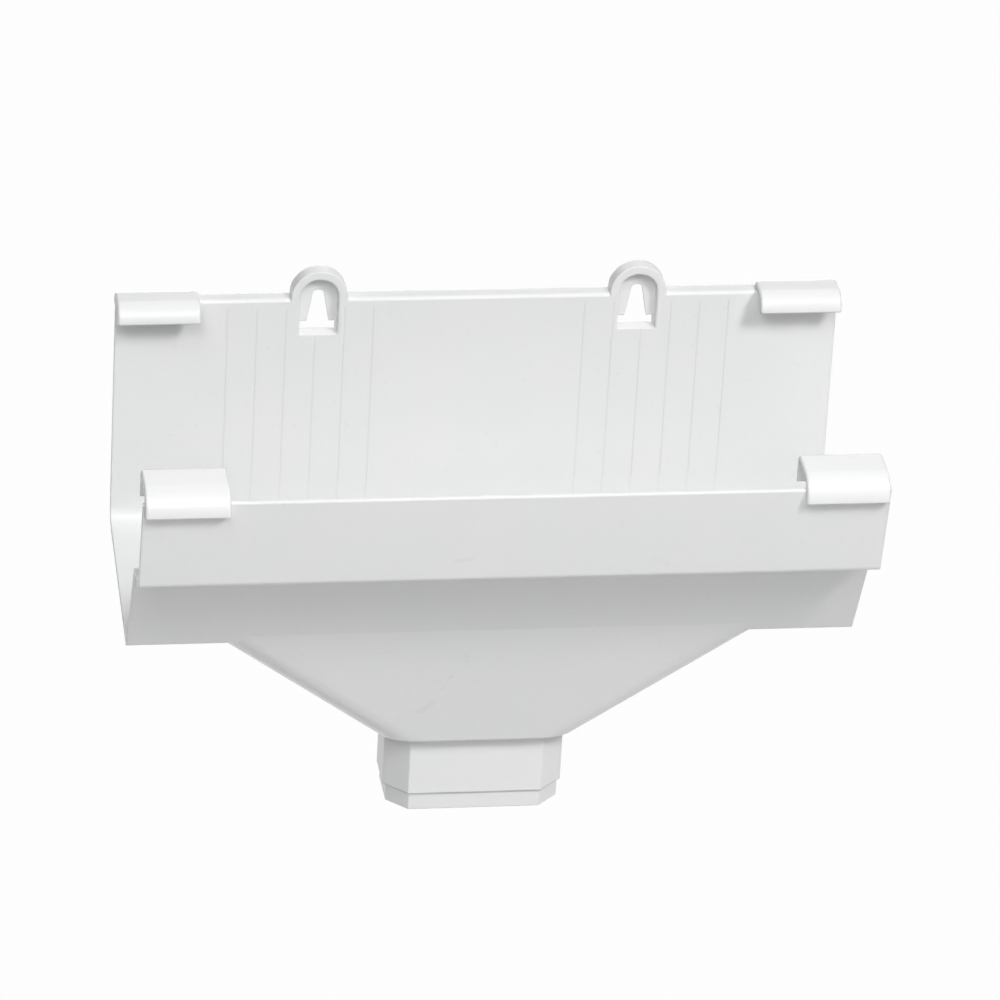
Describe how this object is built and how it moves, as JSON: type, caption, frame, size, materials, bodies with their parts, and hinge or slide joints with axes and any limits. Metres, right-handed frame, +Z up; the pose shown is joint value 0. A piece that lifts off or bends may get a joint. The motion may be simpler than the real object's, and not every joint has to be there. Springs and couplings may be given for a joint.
{
  "type": "gutter outlet",
  "caption": "Moulded gutter outlet: a stepped trough with end clips opens through a tapered hopper into a chamfered rectangular spigot, with keyhole screw ears on its rear wall.",
  "frame": {"origin": "on the plane that lies against the wall or fascia board, midway between the two screw seats", "axes": "+X along the gutter, +Y into the wall, +Z up"},
  "size_m": [0.3, 0.1352, 0.224],
  "materials": {
    "white_pvc": "smooth semi-gloss white unplasticised PVC"
  },
  "bodies": {
    "root": {"outlet_body": "white_pvc"}
  },
  "joints": []
}
